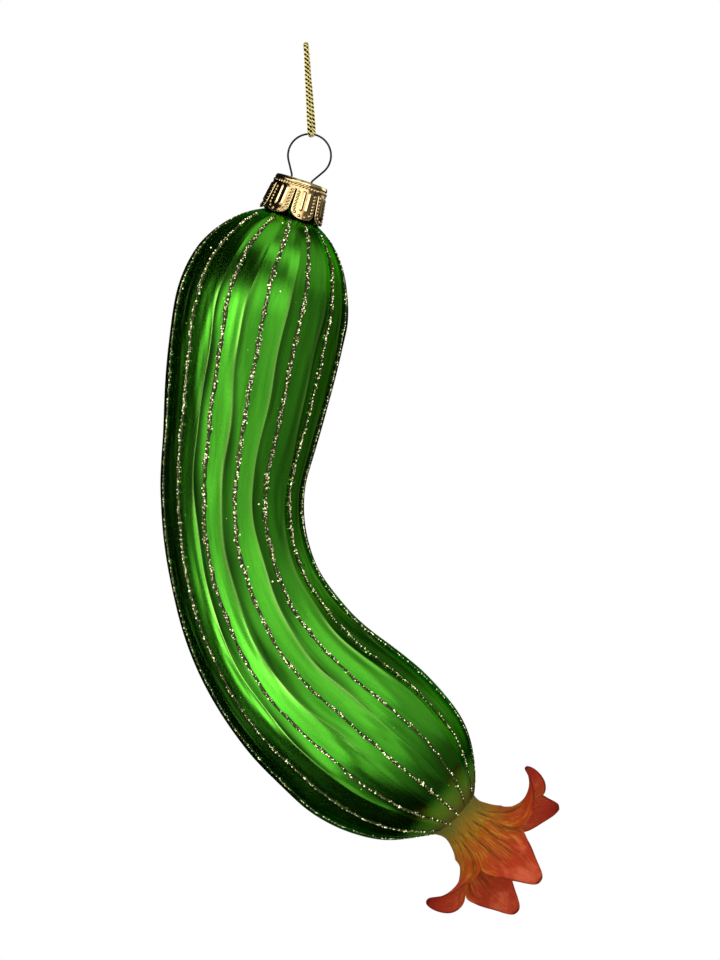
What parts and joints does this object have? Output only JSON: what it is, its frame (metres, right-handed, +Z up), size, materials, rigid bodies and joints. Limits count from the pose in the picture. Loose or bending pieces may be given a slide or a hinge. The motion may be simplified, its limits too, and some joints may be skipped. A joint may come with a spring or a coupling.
{
  "type": "zucchini ornament",
  "caption": "Curved ribbed blown-glass zucchini ornament with piped glitter lines and a petalled blossom, hung by a stamped gold cap, a sprung wire ring and a cord loop.",
  "frame": {"origin": "inside top of the cord loop, where the hook carries the ornament", "axes": "+Z up along the hanging cord, +X to the right of the front view (the blossom's side), +Y away from the viewer"},
  "size_m": [0.0802, 0.0356, 0.1754],
  "materials": {
    "gold_cord": "braided metallic cord",
    "spring_steel": "dark drawn wire",
    "gold_cap": "stamped, bright gold",
    "green_lacquer": "silvered blown glass under a satin green lacquer",
    "gold_glitter": "coarse champagne glitter in glue",
    "blossom_lacquer": "satin, shaded from olive to red orange",
    "clear_glue": "set glue"
  },
  "bodies": {
    "cord": {"hanging_cord": "gold_cord"},
    "wire": {"hanger_wire": "spring_steel"},
    "cap": {"cap": "gold_cap"},
    "glass": {"glass_body": "green_lacquer", "blossom": "blossom_lacquer", "blossom_glue": "clear_glue", "glitter_line_1": "gold_glitter", "glitter_line_2": "gold_glitter", "glitter_line_3": "gold_glitter", "glitter_line_4": "gold_glitter", "glitter_line_5": "gold_glitter", "glitter_line_6": "gold_glitter", "glitter_line_7": "gold_glitter", "glitter_line_8": "gold_glitter", "glitter_line_9": "gold_glitter", "glitter_line_10": "gold_glitter", "glitter_line_11": "gold_glitter", "glitter_line_12": "gold_glitter", "glitter_line_13": "gold_glitter", "glitter_line_14": "gold_glitter"}
  },
  "joints": [
    {"name": "ring_swing", "type": "hinge", "parent": "cord", "child": "wire", "pos_m": [0.0007, 0, -0.0174], "axis": [1, 0, 0], "range_deg": [-75, 75]},
    {"name": "wire_draw", "type": "slide", "parent": "wire", "child": "cap", "axis": [-0.3156, 0, -0.9489], "range_m": [0, 0.008]},
    {"name": "cap_pull", "type": "slide", "parent": "cap", "child": "glass", "axis": [-0.3156, 0, -0.9489], "range_m": [0, 0.02]}
  ]
}
